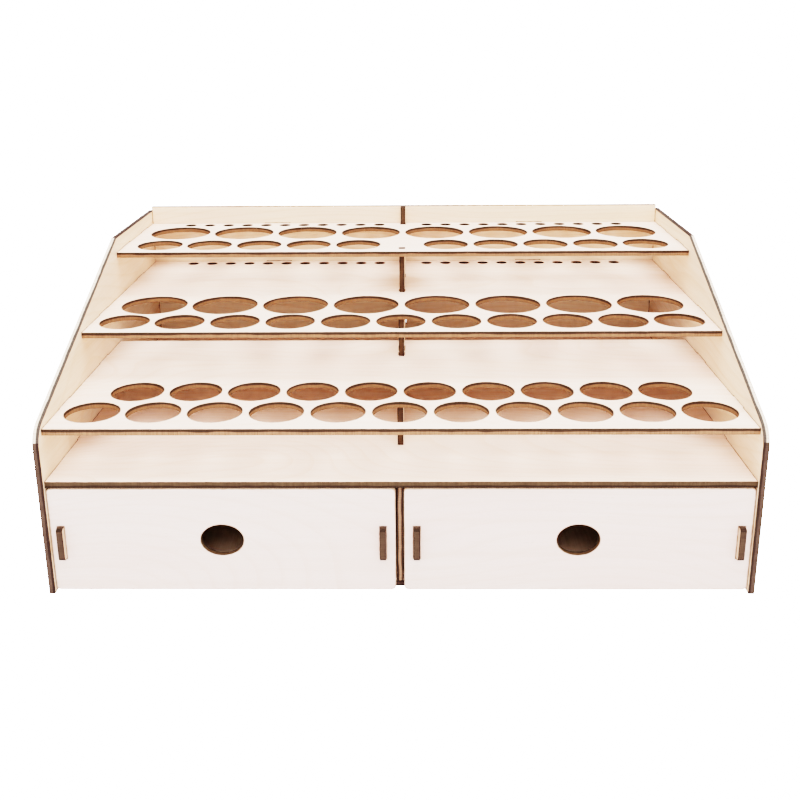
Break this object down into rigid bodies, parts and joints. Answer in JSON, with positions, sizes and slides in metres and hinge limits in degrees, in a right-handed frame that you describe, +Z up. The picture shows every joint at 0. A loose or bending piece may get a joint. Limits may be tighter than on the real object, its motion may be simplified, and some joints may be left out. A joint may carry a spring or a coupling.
{
  "type": "paint rack organizer",
  "caption": "Stepped plywood desk rack: three perforated shelves hold paint bottles and brushes in rows above two sliding drawers.",
  "frame": {"origin": "centre of the whole rack's footprint at table level, drawers closed", "axes": "+X to the right as seen from the drawer side, +Y from the drawer fronts to the back panel, +Z up"},
  "size_m": [0.339, 0.24, 0.1464],
  "materials": {
    "panel_plywood": "satin",
    "shelf_plywood": "satin",
    "drawer_plywood": "satin"
  },
  "bodies": {
    "rack_frame": {"left_side_panel": "panel_plywood", "right_side_panel": "panel_plywood", "back_panel": "panel_plywood", "base_panel": "shelf_plywood", "drawer_deck": "shelf_plywood", "lower_shelf": "shelf_plywood", "middle_shelf": "shelf_plywood", "top_shelf": "shelf_plywood", "drawer_divider": "panel_plywood", "lower_support": "panel_plywood", "middle_support": "panel_plywood", "upper_support": "panel_plywood"},
    "left_drawer": {"left_drawer_front": "drawer_plywood", "left_drawer_left_wall": "drawer_plywood", "left_drawer_right_wall": "drawer_plywood", "left_drawer_back": "drawer_plywood", "left_drawer_floor": "drawer_plywood"},
    "right_drawer": {"right_drawer_front": "drawer_plywood", "right_drawer_left_wall": "drawer_plywood", "right_drawer_right_wall": "drawer_plywood", "right_drawer_back": "drawer_plywood", "right_drawer_floor": "drawer_plywood"}
  },
  "joints": [
    {"name": "left_drawer_slide", "type": "slide", "parent": "rack_frame", "child": "left_drawer", "axis": [0, -1, 0], "range_m": [0, 0.16]},
    {"name": "right_drawer_slide", "type": "slide", "parent": "rack_frame", "child": "right_drawer", "axis": [0, -1, 0], "range_m": [0, 0.16]}
  ]
}
